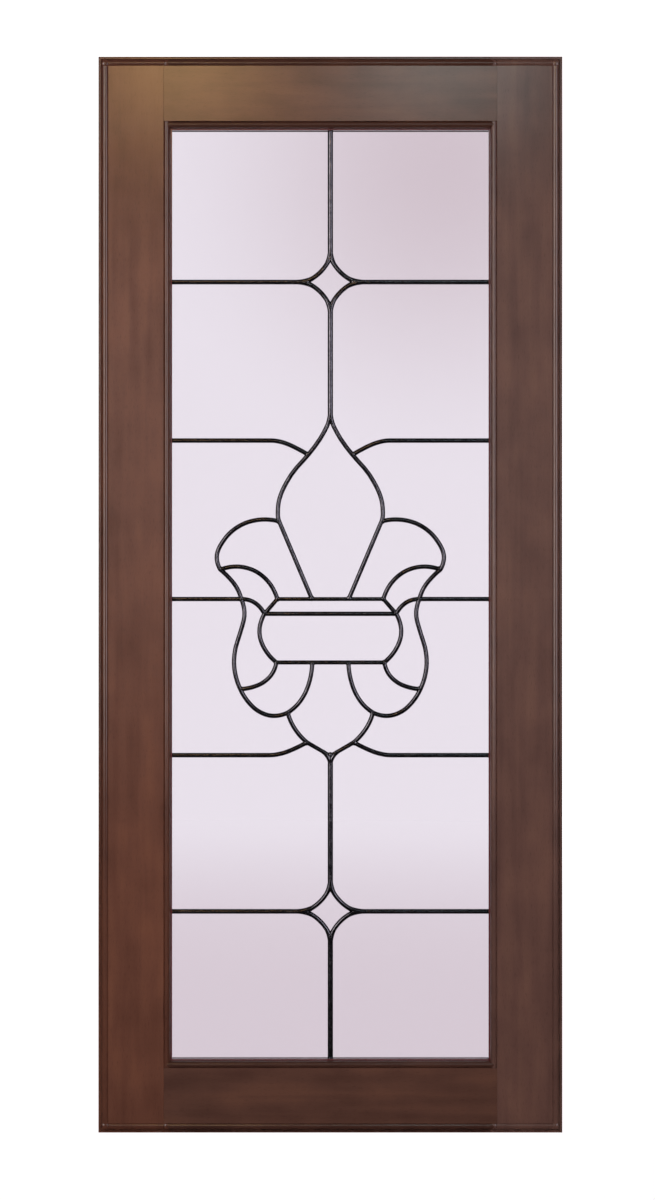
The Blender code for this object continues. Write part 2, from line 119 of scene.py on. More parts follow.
# Points of the fleur-de-lis, as shares of the reach of its petals
FINIAL_TIP = (0.0, 1.589)
FINIAL_SHOULDER = (0.091, 1.409)
FINIAL_JOINT = (0.195, 1.270)
FINIAL_FLANK = (0.343, 1.096)
FINIAL_BULGE = (0.461, 0.801)
PETAL_ROOT = (0.451, 0.684)
FINIAL_FOOT = (0.162, 0.0)
PETAL_RISE = (0.602, 0.700)
PETAL_CROWN = (0.781, 0.654)
PETAL_TURN = (0.930, 0.529)
PETAL_REACH = (1.0, 0.361)
PETAL_END = (0.969, 0.259)
CURL_TOP = (0.804, 0.285)
CURL_SIDE = (0.656, 0.243)
CURL_FALL = (0.547, 0.153)
BAND_CORNER = (0.467, 0.0)
HOOK_SIDE = (0.893, 0.189)
HOOK_FALL = (0.821, 0.095)
BAND_END = (0.784, 0.0)
CUFF_TURN = (0.704, -0.013)
BAND_SHOULDER = (0.580, -0.130)
BAND_BULGE = (0.624, -0.273)
BAND_FOOT = (0.475, -0.558)
SKIRT_NECK = (0.756, -0.112)
SKIRT_FLARE = (0.795, -0.302)
SKIRT_SIDE = (0.833, -0.424)
SKIRT_REACH = (0.848, -0.567)
SKIRT_END = (0.793, -0.793)
HEM_TURN = (0.695, -0.778)
HEM_SIDE = (0.592, -0.735)
HEM_RISE = (0.514, -0.660)
LOBE_SIDE = (0.724, -0.904)
LOBE_TURN = (0.644, -0.980)
LOBE_BOTTOM = (0.513, -1.028)
STEM_ROOT = (0.375, -1.000)
STEM_SWELL = (0.292, -0.932)
STEM_SIDE = (0.220, -0.825)
STEM_NECK = (0.178, -0.704)
STEM_TOP = (0.159, -0.558)
SHIELD_SIDE = (0.353, -1.067)
SHIELD_FALL = (0.285, -1.181)
SHIELD_JOINT = (0.206, -1.262)
SHIELD_TIP = (0.0, -1.381)

# Curves turn by at most this much from one facet to the next
FACET_TURN = radians(4)
# Corners that turn by more are sanded, and edges that turn by less look smooth
ARRIS_TURN = radians(25)
SOFT_EDGE = radians(40)
# Edges that turn by less lie in a flat face
FLAT_TURN = radians(1)
# Turn of a bead's round
BEAD_SWEEP = radians(135)
SAME_POINT = 1e-6
# Steps and points in the small curves of the wood, the solder and a came's face
RIM_STEPS = 6
ARRIS_STEPS = 4
FLARE_STEPS = 12
LEAF_POINTS = 15
# An arris takes at most this share of a facet beside it
ARRIS_SHARE = 0.4
# How far cutters reach past what they cut
SPARE = 0.02
# Cames stand off the glass, and brads out of their stops, by this much
CLEARANCE = 0.0001
# Solder is longer on a pointed tip, and its beads vary in width between two shares
TIP_STRETCH = 1.4
SOLDER_SPREAD = (0.90, 1.12)
# Pull of a flare's ends on its curve, as a share of its reach
FLARE_PULL = 0.55
# From a stop's end to its first brad
PIN_INSET = 0.03

# Stage
WHITE = (1.0, 1.0, 1.0)
FLOOR_GAP = 0.0005
# Distances from the origin between which the floor turns into the backdrop
GLOW_RANGE = (0.9, 3.6)
# Share of that glow by the door, where the rest is lit paint
GLOW_BY_DOOR = 0.9
# Where the studio is dimmer, and how far around that
DIM_WAY = (0.045, 0.985, 0.162)
DIM_REACH = 0.12
SENSOR_WIDTH = 36.0
# From the door's front to the rim that the camera's distance counts from
RIM_DEPTH = 0.006
# Each light: name, place from the door's middle, size, power and colour
FILL_LIGHTS = (
    ("key_softbox", (-0.4, -3.0, 0.35), (1.6, 1.0), 16.0, "FFF9F4"),
    ("back_softbox", (-1.2, 2.6, 0.9), (1.6, 1.0), 12.0, "FFF9F4"),
)
SHEEN_LIGHTS = (
    ("amber_softbox", (-0.33, -3.2, 1.2), (0.3, 0.3), 3.0, "FFCE85"),
    ("cool_softbox", (0.24, -3.2, 1.2), (0.34, 0.3), 1.5, "DAFFFF"),
    ("left_panel", (-1.5, -2.8, 0.45), (1.0, 1.6), 26.0, "FFFAF6"),
    ("right_panel", (1.5, -2.8, 0.4), (1.0, 1.5), 18.0, "F2F4FF"),
)
FILL_SPREAD = radians(80)


def linear(hex_colour):
    """An sRGB colour such as 5D3E34 as the linear values that a shader takes."""
    channels = [int(hex_colour[i : i + 2], 16) / 255 for i in (0, 2, 4)]
    return [c / 12.92 if c <= 0.04045 else ((c + 0.055) / 1.055) ** 2.4 for c in channels]


def length(name, description, default):
    return FloatProperty(
        name=name, description=description, default=default, min=0.0, unit="LENGTH", precision=5
    )


def amount(name, description, default):
    return FloatProperty(name=name, description=description, default=default, min=0.0)


def colour(name, description, hex_colour):
    look = {"min": 0.0, "max": 1.0, "size": 3, "subtype": "COLOR"}
    return FloatVectorProperty(
        name=name, description=description, default=linear(hex_colour), **look
    )


class DoorWoodwork(bpy.types.PropertyGroup):
    edge_width: length("Edge Width", "Moulding along the outer edge", 0.0096)
    edge_lip: length("Edge Lip", "Flat lip outside the outer bead", 0.0022)
    edge_drop: length("Edge Drop", "Depth of that lip behind the face", 0.0050)
    rim_round: length("Rim Round", "Rounding of the outer rim", 0.0010)
    sticking_width: length("Sticking Width", "Moulding around the glass", 0.0076)
    sticking_lip: length("Sticking Lip", "Flat lip inside the bead", 0.0012)
    sticking_drop: length("Sticking Drop", "Depth of that lip behind the face", 0.0052)
    bead_crest: length("Bead Crest", "Depth of both beads' crests behind the face", 0.0010)
    lip_thickness: length("Lip Thickness", "Wood in front of the panel", 0.0090)
    rabbet_width: length("Rabbet Width", "Depth of the rabbet behind the sight edge", 0.0095)
    arris: length("Arris", "Softening of the sanded edges", 0.0004)
    joint: length("Joint", "Glue line between rail and stile", 0.00003)
    pin_spacing: length("Pin Spacing", "Distance between the brads in the stops", 0.0900)
    pin_radius: length("Pin Radius", "Radius of a brad's head", 0.0008)
    bead_facets: IntProperty(
        name="Bead Facets", description="Facets round a bead", default=18, min=3, max=64
    )


class DoorLeadwork(bpy.types.PropertyGroup):
    face_width: length("Face Width", "Width of a round came", 0.0042)
    crown: length("Crown", "Rise of a came's round face above the glass", 0.0013)
    heart_width: length("Heart Width", "Wall between two panes", 0.0016)
    stem_width: length("Stem Width", "Width of the upright cames in the middle", 0.0050)
    border_width: length("Border Width", "Width of the came around the panel", 0.0036)
    border_crown: length("Border Crown", "Rise of that came's face above the glass", 0.0008)
    flare_reach: length("Flare Reach", "How far solder runs along a stem at a tip", 0.0085)
    solder_radius: length("Solder Radius", "Reach of the solder on a joint", 0.0027)
    solder_shift: length("Solder Shift", "How far solder sits towards the joining came", 0.0008)
    solder_proud: length("Solder Proud", "Height of the solder above the came", 0.0001)
    solder_seed: IntProperty(
        name="Solder Seed", description="Picks how the solder varies", default=7, min=0
    )


class DoorFinishes(bpy.types.PropertyGroup):
    wood_dark: colour("Wood Dark", "Stain in the dark grain", "5E3C31")
    wood_middle: colour("Wood Middle", "Main colour of the stain", "6A4538")
    wood_light: colour("Wood Light", "Stain in the light grain", "764D3D")
    # Painted shade: the mouldings' colour is multiplied by this, for the shade they lie in
    painted_moulding_shade: colour("Gathered", "Share of light left where stain gathers", "C8C2C4")
    # Dark red set on the lip by the glass as a colour of its own
    lip_red: colour("Lip Red", "Thin red stain on the lip by the glass", "562426")
    patina: colour("Patina", "Black patina on the cames", "545157")
    patina_worn: colour("Patina Worn", "Patina where it is rubbed", "8A858C")
    # Partly the glass's own tint, partly painted shade: darker and lavender for the dimmer
    # backdrop seen through it
    glass_tint_and_shade: colour("Glass Tint", "Tint of the clear glass", "D3CCD5")


class DoorStage(bpy.types.PropertyGroup):
    camera_distance: length("Camera Distance", "From the camera to the door's rim", 2.5)
    picture_height: length("Picture Height", "Height that the picture covers", 1.1333)
    camera_left: length("Camera Left", "Camera left of the door's middle", 0.0027)
    camera_low: length("Camera Low", "Camera below the door's middle", 0.0051)
    floor_size: length("Floor Size", "Side of the floor", 16.0)
    backdrop: amount("Backdrop", "Brightness behind", 1.3)
    near_floor: amount("Near Floor", "Brightness of the floor by the door", 1.16)
    room: amount("Room", "Soft light all round", 0.13)
    gloss: amount("Gloss", "Share of the room that shows in a shine", 0.15)


def placed(name, data):
    """A new object in the scene."""
    made = bpy.data.objects.new(name, data)
    bpy.context.scene.collection.objects.link(made)
    return made


def add(tree, kind, inputs=None, **settings):
    """Adds a node; an input is given a value, or the socket that feeds it."""
    made = tree.nodes.new(kind)
    for name, value in settings.items():
        setattr(made, name, value)
    for name, value in (inputs or {}).items():
        if isinstance(value, bpy.types.NodeSocket):
            tree.links.new(value, made.inputs[name])
        else:
            made.inputs[name].default_value = value
    return made


def maths(tree, operation, *values):
    return add(tree, "ShaderNodeMath", dict(enumerate(values)), operation=operation).outputs[0]


def new_material(name):
    """A material, its node tree and its shader."""
    material = bpy.data.materials.new(name)
    material.use_nodes = True
    tree = material.node_tree
    return material, tree, tree.nodes["Principled BSDF"]


def object_place(tree):
    return add(tree, "ShaderNodeTexCoord").outputs["Object"]


def noise(tree, place, size, detail, distortion=0.0):
    """Noise with patches of about this size in metres."""
    inputs = {"Vector": place, "Scale": 1 / size, "Detail": detail, "Distortion": distortion}
    return add(tree, "ShaderNodeTexNoise", inputs).outputs["Fac"]


def remap(tree, value, given, wanted, curve="LINEAR"):
    """A value taken from one range to another."""
    ranges = dict(zip(("From Min", "From Max", "To Min", "To Max"), given + wanted))
    inputs = {"Value": value} | ranges
    return add(tree, "ShaderNodeMapRange", inputs, interpolation_type=curve).outputs["Result"]


def blend(tree, share, first, second, way="MIX"):
    """Two colours blended; each is red, green and blue, or the socket that feeds it."""
    colours = [c if isinstance(c, bpy.types.NodeSocket) else (*c, 1.0) for c in (first, second)]
    inputs = {"Factor": share, 6: colours[0], 7: colours[1]}
    return add(tree, "ShaderNodeMix", inputs, data_type="RGBA", blend_type=way).outputs[2]


def relief(tree, shader, height, strength, depth):
    """Gives a shader a fine relief of this depth."""
    bump = add(tree, "ShaderNodeBump", {"Height": height, "Strength": strength, "Distance": depth})
    tree.links.new(bump.outputs["Normal"], shader.inputs["Normal"])


def show(name, mesh, replaced=()):
    """Puts a finished mesh in the door as a piece."""
    piece = placed(name, mesh)
    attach(piece, "root")
    if replaced:
        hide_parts(*replaced)
    return piece


def evaluated(drawn):
    """The mesh that an object's modifiers make; the object itself is removed."""
    bpy.context.view_layer.update()
    graph = bpy.context.evaluated_depsgraph_get()
    mesh = bpy.data.meshes.new_from_object(drawn.evaluated_get(graph))
    bpy.data.objects.remove(drawn)
    return mesh


def softened(mesh, angle):
    """Smooth shading in which flat faces stay flat and edges sharper than the angle stay crisp."""
    mesh.shade_smooth()
    mesh.set_sharp_from_angle(angle=angle)
    drawn = placed(mesh.name, mesh)
    level = drawn.modifiers.new("level", "WEIGHTED_NORMAL")
    level.keep_sharp = True
    return evaluated(drawn)


# Woodwork


def beaded_edge(width, lip, drop, wood):
    """A bead from its foot by the lip over its crest into the quirk, then the wall up to the face.

    The points are (inset, depth behind the face).
    """
    half_width = (width - lip) / (1 - cos(BEAD_SWEEP))
    height = drop - wood.bead_crest
    points = []
    for n in range(wood.bead_facets + 1):
        angle = BEAD_SWEEP * n / wood.bead_facets
        points.append((lip + half_width * (1 - cos(angle)), drop - height * sin(angle)))
    return points + [(width, 0.0)]


def outer_profile(wood):
    """From the back over the round rim to the face: (inset from the outer edge, depth)."""
    points = [(0.0, THICKNESS)]
    for n in range(RIM_STEPS + 1):
        angle = pi / 2 * n / RIM_STEPS
        inset = wood.rim_round * (1 - cos(angle))
        points.append((inset, wood.edge_drop + wood.rim_round * (1 - sin(angle))))
    return points + beaded_edge(wood.edge_width, wood.edge_lip, wood.edge_drop, wood)


def sight_profile(wood):
    """From the face to the back: (inset from the sight edge, depth behind the face)."""
    moulded = beaded_edge(wood.sticking_width, wood.sticking_lip, wood.sticking_drop, wood)[::-1]
    back = [(0.0, wood.sticking_drop), (0.0, wood.lip_thickness)]
    back += [(wood.rabbet_width, wood.lip_thickness), (wood.rabbet_width, THICKNESS)]
    return moulded + back


def sanded(outline, radius):
    """A closed outline with each sharp corner taken off in a small curve."""
    points = []
    corners = zip(outline[-1:] + outline[:-1], outline, outline[1:] + outline[:1])
    for before, corner, after in corners:
        before, corner, after = Vector(before), Vector(corner), Vector(after)
        arrive, leave = corner - before, after - corner
        turn = arrive.angle(leave)
        if turn < ARRIS_TURN:
            points.append(tuple(corner))
            continue
        room = [ARRIS_SHARE * facet.length for facet in (arrive, leave)]
        cut = min(radius * tan(min(turn, pi / 2) / 2), *room)
        start = corner - arrive.normalized() * cut
        end = corner + leave.normalized() * cut
        curve = interpolate_bezier(start, corner, corner, end, ARRIS_STEPS)
        points += [(point.x, point.y) for point in curve]
    return points


def prism(name, outline, start, end, lay):
    """A closed solid drawn from a flat outline; lay puts its (across, up, along) in the door."""
    shape = bmesh.new()
    ends = [[shape.verts.new(lay(a, b, along)) for a, b in outline] for along in (start, end)]
    shape.faces.new(ends[0])
    shape.faces.new(ends[1][::-1])
    for n in range(len(outline)):
        after = (n + 1) % len(outline)
        shape.faces.new((ends[0][n], ends[1][n], ends[1][after], ends[0][after]))
    bmesh.ops.recalc_face_normals(shape, faces=shape.faces)
    mesh = bpy.data.meshes.new(name)
    shape.to_mesh(mesh)
    shape.free()
    return placed(name, mesh)


def trimmed(solid, trim):
    """The mesh of what two solids share."""
    cut = solid.modifiers.new("trim", "BOOLEAN")
    cut.operation = "INTERSECT"
    cut.solver = "EXACT"
    cut.object = trim
    mesh = evaluated(solid)
    bpy.data.objects.remove(trim)
    return mesh


def standing(a, b, along):
    return (a, b, along)


def lying(a, b, along):
    return (along, a, b)


def member_section(wood):
    inner = [(MEMBER_WIDTH - across, depth) for across, depth in sight_profile(wood)]
    return [(across, depth - THICKNESS) for across, depth in outer_profile(wood) + inner]


def stile_mesh(name, side, wood):
    """A full-height stile, trimmed to the moulded top and bottom edges of the door."""
    section = [(CENTRE_X + side * (HALF_WIDTH - across), y) for across, y in member_section(wood)]
    reach = HALF_HEIGHT + SPARE
    stile = prism(name, sanded(section, wood.arris), -reach, reach, standing)
    edge = [(depth - THICKNESS, HALF_HEIGHT - across) for across, depth in outer_profile(wood)]
    silhouette = edge + [(y, -z) for y, z in reversed(edge)]
    start, end = DOOR_LOW.x - SPARE, DOOR_HIGH.x + SPARE
    trim = prism(name + "_trim", sanded(silhouette, wood.arris), start, end, lying)
    return trimmed(stile, trim)


def rail_mesh(name, side, wood):
    """A rail between the stiles, its ends coped over their sticking."""
    section = [(y, side * (HALF_HEIGHT - across)) for across, y in member_section(wood)]
    rail = prism(name, sanded(section, wood.arris), DOOR_LOW.x, DOOR_HIGH.x, lying)
    profile = sight_profile(wood)
    crest = min(range(1, wood.bead_facets + 2), key=lambda n: profile[n][1])
    cope = [profile[0], (profile[0][0], profile[crest][1])] + profile[crest:]
    edge = [(SIGHT_HALF_WIDTH + across - wood.joint, depth - THICKNESS) for across, depth in cope]
    edge[0] = (edge[0][0], DOOR_LOW.y - SPARE)
    edge[-1] = (edge[-1][0], DOOR_HIGH.y + SPARE)
    plan = [(CENTRE_X + x, y) for x, y in edge] + [(CENTRE_X - x, y) for x, y in edge[::-1]]
    reach = HALF_HEIGHT + SPARE
    trim = prism(name + "_trim", plan, -reach, reach, standing)
    return trimmed(rail, trim)


def mark_mouldings(mesh, wood):
    """Marks the lip by the glass, which is set dark red, and the mouldings, which get painted
    shade.
    """
    # Room beside, before and behind the lip, for its softened edges
    beside, before, behind = 0.0002, 0.0003, 0.0001
    near = wood.sticking_lip + beside
    front = DOOR_LOW.y + wood.sticking_drop - before
    back = DOOR_LOW.y + wood.lip_thickness + behind
    lip = mesh.attributes.new("lip", "FLOAT", "FACE").data
    moulding = mesh.attributes.new("moulding", "FLOAT", "FACE").data
    for n, face in enumerate(mesh.polygons):
        inside = abs(face.center.x - CENTRE_X) < SIGHT_HALF_WIDTH + near
        inside = inside and abs(face.center.z) < SIGHT_HALF_HEIGHT + near
        lip[n].value = float(inside and front < face.center.y < back)
        # The mouldings' faces, which get painted shade
        moulding[n].value = float(DOOR_LOW.y + wood.arris / 2 < face.center.y < back)


def stop_mesh(name, wood):
    """A stop with its sawn edges taken off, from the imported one."""
    shape = bmesh.new()
    shape.from_mesh(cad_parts[name].data)
    bmesh.ops.remove_doubles(shape, verts=shape.verts, dist=SAME_POINT)
    flat = [edge for edge in shape.edges if edge.calc_face_angle(0.0) < FLAT_TURN]
    bmesh.ops.dissolve_edges(shape, edges=flat, use_verts=True)
    bmesh.ops.recalc_face_normals(shape, faces=shape.faces)
    round_edge = {"offset_type": "OFFSET", "segments": 2, "profile": 0.5, "affect": "EDGES"}
    bmesh.ops.bevel(shape, geom=shape.edges[:], offset=wood.arris, **round_edge)
    mesh = bpy.data.meshes.new(name + "_strip")
    shape.to_mesh(mesh)
    shape.free()
    return mesh


def stained_cherry(name, finishes, upright, number):
    """Cherry, planed and sanded, with a dark reddish-brown stain under a satin lacquer.

    The stain evens out the grain: soft figure along the board, faint blotches and fine pores,
    with a low sheen over all. Every board takes it in its own tone; painted shade darkens the
    bottom rail and the mouldings, and a painted cool sheen makes the right stile bluer.
    """
    material, tree, shader = new_material("stained_cherry_" + name)
    # Each board is cut from another place in the wood
    start = (0.17 * number, 0.05 * number, 0.29 * number)
    turn = (0.0, 0.0, 0.0) if upright else (0.0, pi / 2, 0.0)
    laid = {"Vector": object_place(tree), "Location": start, "Rotation": turn}
    board = add(tree, "ShaderNodeMapping", laid).outputs["Vector"]
    # The board's tone, which holds painted shade and a painted cool sheen
    tone = BOARD_TONES_AND_LIGHT.get(name, WHITE)

    def stained(stain):
        return (*[value * share for value, share in zip(stain, tone)], 1.0)

    def grain(across, along, detail, distortion=0.0):
        """Noise with patches of these sizes in metres, across and along the board."""
        scale = (1 / across, 1 / across, 1 / along)
        place = add(tree, "ShaderNodeMapping", {"Vector": board, "Scale": scale}).outputs["Vector"]
        return noise(tree, place, 1.0, detail, distortion)

    def marked(mark):
        """1 on the faces that carry a mark, else 0."""
        found = {"attribute_name": mark, "attribute_type": "GEOMETRY"}
        return add(tree, "ShaderNodeAttribute", **found).outputs["Fac"]

    # Figure 12 mm wide and 160 mm long, blotches of 30 to 50 mm, pores 0.5 mm wide
    figure = grain(0.012, 0.160, 3.0, 0.3)
    blotch = grain(0.032, 0.052, 2.0)
    pores = grain(0.0005, 0.006, 2.0)
    toned = maths(tree, "MULTIPLY_ADD", blotch, 0.5, maths(tree, "MULTIPLY", figure, 0.5))
    stain = add(tree, "ShaderNodeValToRGB", {"Fac": toned})
    ramp = stain.color_ramp.elements
    ramp[0].position = 0.34
    ramp[1].position = 0.66
    ramp[0].color = stained(finishes.wood_dark)
    ramp[1].color = stained(finishes.wood_light)
    middle = ramp.new(0.5)
    middle.color = stained(finishes.wood_middle)
    specks = remap(tree, pores, (0.30, 0.42), (0.75, 1.0))
    pored = blend(tree, 1.0, stain.outputs["Color"], specks, "MULTIPLY")
    # Painted shade: the mouldings are darkened, by a share that differs from board to board
    kept = maths(tree, "MULTIPLY", marked("moulding"), MOULDING_SHADE.get(name, 1.0))
    painted_moulding_shade = blend(tree, kept, pored, finishes.painted_moulding_shade, "MULTIPLY")
    # The lip by the glass is set to its own dark red
    finish = blend(tree, marked("lip"), painted_moulding_shade, finishes.lip_red)
    matt = remap(tree, blotch, (0.0, 1.0), (0.40, 0.50))
    tree.links.new(finish, shader.inputs["Base Color"])
    tree.links.new(matt, shader.inputs["Roughness"])
    relief(tree, shader, pores, 0.25, 0.00004)
    shader.inputs["IOR"].default_value = 1.5
    shader.inputs["Specular IOR Level"].default_value = 0.05
    shader.inputs["Coat Weight"].default_value = 1.0
    shader.inputs["Coat Roughness"].default_value = 0.17
    return material


class DOOR_OT_frame(bpy.types.Operator):
    """Build the stiles and rails with their fine mouldings"""

    bl_idname = "door.frame"
    bl_label = "Stiles and Rails"

    def execute(self, context):
        wood, finishes = context.scene.door_woodwork, context.scene.door_finishes
        members = (
            ("left_stile", -1, stile_mesh),
            ("right_stile", 1, stile_mesh),
            ("top_rail", 1, rail_mesh),
            ("bottom_rail", -1, rail_mesh),
        )
        for number, (name, side, make) in enumerate(members):
            mesh = softened(make(name + "_moulded", side, wood), SOFT_EDGE)
            mark_mouldings(mesh, wood)
            mesh.materials.clear()
            mesh.materials.append(stained_cherry(name, finishes, make is stile_mesh, number))
            show(name + "_moulded", mesh, (name,))
        return {"FINISHED"}


class DOOR_OT_stops(bpy.types.Operator):
    """Build the plain stops that hold the panel"""

    bl_idname = "door.stops"
    bl_label = "Stops"

    def execute(self, context):
        wood, finishes = context.scene.door_woodwork, context.scene.door_finishes
        for number, name in enumerate(STOPS, start=4):
            mesh = softened(stop_mesh(name, wood), SOFT_EDGE)
            upright = name in ("left_stop", "right_stop")
            mesh.materials.append(stained_cherry(name, finishes, upright, number))
            show(name + "_strip", mesh, (name,))
        return {"FINISHED"}


# Leadwork


def smooth(keys, start=None, end=None):
    """Points on a smooth curve through the keys, with its end directions where they are given."""
    keys = [Vector(key) for key in keys]
    chords = [b - a for a, b in zip(keys, keys[1:])]
    slopes = []
    for a, b in zip(chords, chords[1:]):
        slopes.append((a * (b.length / a.length) + b * (a.length / b.length)).normalized())
    first = Vector(start) if start else chords[0].normalized() * 2 - slopes[0]
    last = Vector(end) if end else chords[-1].normalized() * 2 - slopes[-1]
    slopes = [first.normalized()] + slopes + [last.normalized()]
    points = [tuple(keys[0])]
    for a, b, chord, leave, arrive in zip(keys, keys[1:], chords, slopes, slopes[1:]):
        turn = leave.angle(chord) + chord.angle(arrive)
        steps = max(1, ceil(turn / FACET_TURN))
        reach = chord.length / 3
        span = interpolate_bezier(a, a + leave * reach, b - arrive * reach, b, steps + 1)
        points += [tuple(point) for point in span[1:-1]] + [tuple(b)]
    return points


def fleur(share):
    return (share[0] * FLEUR_REACH, share[1] * FLEUR_REACH + BAND_OFFSET)


def fleur_curve(*shares, start=None, end=None):
    return smooth([fleur(share) for share in shares], start, end)


def mirrored(line):
    return [(-u, v) for u, v in reversed(line)]


def joined(*lines):
    """Several lines that follow on from each other as one."""
    points = list(lines[0])
    for line in lines[1:]:
        points += line[1:]
    return points


def row_levels():
    return {
        1: SIGHT_HALF_HEIGHT - TOP_PANE_HEIGHT,
        2: fleur(FINIAL_JOINT)[1] + SWEEP_RISE,
        3: BAND_OFFSET,
        4: fleur(SHIELD_JOINT)[1] - SWEEP_FALL,
        5: BOTTOM_PANE_HEIGHT - SIGHT_HALF_HEIGHT,
    }


def swept_row(joint, level):
    """A row's came, bent out of the fleur-de-lis and then level to the border."""
    start = Vector(fleur(joint))
    reach = Vector((SWEEP_RUN, level - start.y))
    bends = [start + Vector((run * reach.x, rise * reach.y)) for run, rise in SWEEP_BENDS]
    bent = smooth([start] + bends + [start + reach], end=(1.0, 0.0))
    return bent + [(PANEL_HALF_WIDTH, level)]


def diamond_side(level):
    """From the top of a diamond to its right tip, hollowed as a curve."""
    top, tip = Vector((0.0, DIAMOND_HALF_HEIGHT)), Vector((DIAMOND_HALF_WIDTH, 0.0))
    inward = -Vector((DIAMOND_HALF_HEIGHT, DIAMOND_HALF_WIDTH)).normalized()
    belly = (top + tip) / 2 + inward * DIAMOND_HOLLOW
    side = smooth([top, belly, tip])
    return [(u, v + level) for u, v in side]


def diamond(level):
    side = diamond_side(level)
    under = [(u, 2 * level - v) for u, v in reversed(side)]
    half = joined(side, under)
    return joined(half, mirrored(half))


def open_cames():
    """The centre lines of all cames that end somewhere."""
    level = row_levels()
    leg = Vector(FINIAL_FOOT) - Vector(PETAL_ROOT)
    shoulder = Vector(FINIAL_FLANK) - Vector(FINIAL_SHOULDER)
    finial = joined(
        fleur_curve(FINIAL_TIP, FINIAL_SHOULDER, FINIAL_JOINT, end=shoulder),
        fleur_curve(FINIAL_JOINT, FINIAL_FLANK, FINIAL_BULGE, PETAL_ROOT, start=shoulder, end=leg),
        [fleur(PETAL_ROOT), fleur(FINIAL_FOOT)],
    )
    petal = joined(
        fleur_curve(PETAL_ROOT, PETAL_RISE, PETAL_CROWN, PETAL_TURN, PETAL_REACH, PETAL_END),
        fleur_curve(PETAL_END, HOOK_SIDE, HOOK_FALL, BAND_END),
        fleur_curve(BAND_END, CUFF_TURN, BAND_SHOULDER, start=(-1.0, 0.0)),
    )
    shield = joined(
        fleur_curve(STEM_ROOT, SHIELD_SIDE, SHIELD_FALL, SHIELD_JOINT),
        [fleur(SHIELD_JOINT), fleur(SHIELD_TIP)],
    )
    right = [
        petal,
        fleur_curve(PETAL_END, CURL_TOP, CURL_SIDE, CURL_FALL, BAND_CORNER),
        fleur_curve(BAND_END, SKIRT_NECK, SKIRT_FLARE, SKIRT_SIDE, SKIRT_REACH, SKIRT_END),
        fleur_curve(SKIRT_END, HEM_TURN, HEM_SIDE, HEM_RISE, BAND_FOOT),
        fleur_curve(SKIRT_END, LOBE_SIDE, LOBE_TURN, LOBE_BOTTOM, STEM_ROOT),
        fleur_curve(STEM_ROOT, STEM_SWELL, STEM_SIDE, STEM_NECK, STEM_TOP),
        swept_row(FINIAL_JOINT, level[2]),
        [fleur(BAND_END), (PANEL_HALF_WIDTH, level[3])],
        swept_row(SHIELD_JOINT, level[4]),
        [(DIAMOND_HALF_WIDTH, level[1]), (PANEL_HALF_WIDTH, level[1])],
        [(DIAMOND_HALF_WIDTH, level[5]), (PANEL_HALF_WIDTH, level[5])],
    ]
    shoulders = fleur(BAND_SHOULDER)
    middle = [
        joined(mirrored(finial), finial),
        joined(mirrored(shield[::-1]), shield[::-1]),
        [(-shoulders[0], shoulders[1]), shoulders],
    ]
    return middle + right + [mirrored(line) for line in right]


def stems():
    """The upright cames on the panel's middle line, a little wider than the rest."""
    level = row_levels()
    return [
        [(0.0, PANEL_HALF_HEIGHT), (0.0, level[1] + DIAMOND_HALF_HEIGHT)],
        [(0.0, level[1] - DIAMOND_HALF_HEIGHT), fleur(FINIAL_TIP)],
        [fleur(SHIELD_TIP), (0.0, level[5] + DIAMOND_HALF_HEIGHT)],
        [(0.0, level[5] - DIAMOND_HALF_HEIGHT), (0.0, -PANEL_HALF_HEIGHT)],
    ]


def closed_cames():
    """The band and both diamonds, whose cames come back to where they start."""
    level = row_levels()
    side = joined(
        [fleur(BAND_CORNER), fleur(BAND_SHOULDER)],
        fleur_curve(BAND_SHOULDER, BAND_BULGE, BAND_FOOT),
    )
    band = side + mirrored(side)
    return [band, diamond(level[1])[:-1], diamond(level[5])[:-1]]


def pull(point, lines):
    """The directions of all cames at a point, added up: none where they cross."""
    total = Vector((0.0, 0.0))
    for line in lines:
        for n, corner in enumerate(line):
            if (Vector(corner) - point).length < SAME_POINT:
                for near in line[max(n - 1, 0) : n] + line[n + 1 : n + 2]:
                    total += (Vector(near) - point).normalized()
    return total


def joints(lead):
    """The solder on each joint: (u, v, direction, stretch), for the whole panel.

    It sits a little towards where the cames lead, and runs along the stem at a pointed tip.
    """
    ended = open_cames() + stems()
    lines = ended + [loop + loop[:1] for loop in closed_cames()]
    level = row_levels()
    found = {}
    for line in ended:
        for end in (line[0], line[-1]):
            inside = abs(end[0]) < PANEL_HALF_WIDTH and abs(end[1]) < PANEL_HALF_HEIGHT
            if inside:
                found[tuple(round(value, 6) for value in end)] = Vector(end)
    solder = []
    for point in found.values():
        place = point + pull(point, lines) * lead.solder_shift
        row_tip = min(abs(point.y - level[1]), abs(point.y - level[5])) < SAME_POINT
        stem_tip = abs(point.x) < SAME_POINT
        turn = pi / 2 if stem_tip else 0.0
        solder.append((*place, turn, TIP_STRETCH if stem_tip or row_tip else 1.0))
    return solder


def along(line, distance):
    """The point at a distance along a line, and the line's direction there."""
    for start, end in zip(line, line[1:]):
        step = Vector(end) - Vector(start)
        if distance <= step.length:
            return Vector(start) + step.normalized() * distance, step.normalized()
        distance -= step.length
    raise ValueError("the line is shorter than the distance")


def flare(side, stem, reach):
    """The hollow curve in which solder runs from a stem into a side that leaves its tip."""
    start = Vector(side[0]) + Vector(stem) * reach
    end, way = along(side, reach)
    pull_in = reach * FLARE_PULL
    bend = (start, start - Vector(stem) * pull_in, end - way * pull_in, end)
    return [tuple(point) for point in interpolate_bezier(*bend, FLARE_STEPS)]


